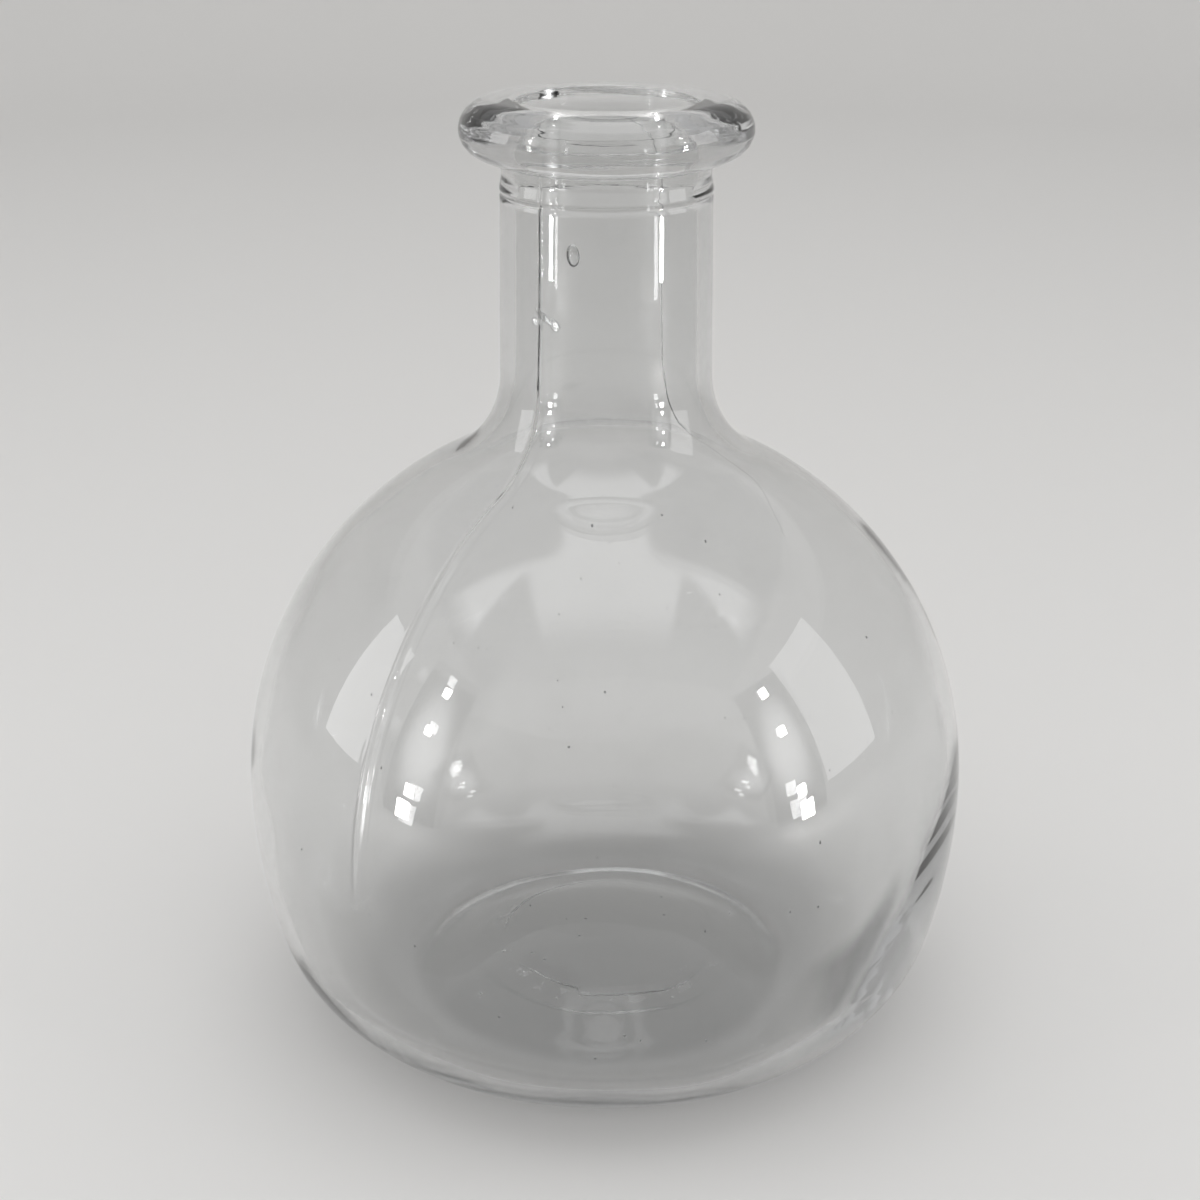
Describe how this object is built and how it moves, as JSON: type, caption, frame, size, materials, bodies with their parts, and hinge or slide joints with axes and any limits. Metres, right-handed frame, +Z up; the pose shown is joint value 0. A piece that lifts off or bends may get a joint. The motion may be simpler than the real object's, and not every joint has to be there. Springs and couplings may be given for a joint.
{
  "type": "globe vase",
  "caption": "Globe-shaped clear glass vase with a tall straight neck, a heavy rounded ring lip and a pushed-up base.",
  "frame": {"origin": "on the vase's axis, at the level of the flat resting ring under the base", "axes": "+Z up along the vase's axis towards the mouth; -Y is the side that faces the picture's camera, with +X to its right"},
  "size_m": [0.15, 0.15, 0.1912],
  "materials": {
    "body_glass": "clear colourless glass with a faint grey cast, smooth, slightly wavy, with small seeds",
    "lip_glass": "clear glass with fine tooling lines round it",
    "scar_glass": "rough, chipped clear glass"
  },
  "bodies": {
    "root": {"blown_body": "body_glass", "lip_finish": "lip_glass", "pontil_scar": "scar_glass"}
  },
  "joints": []
}
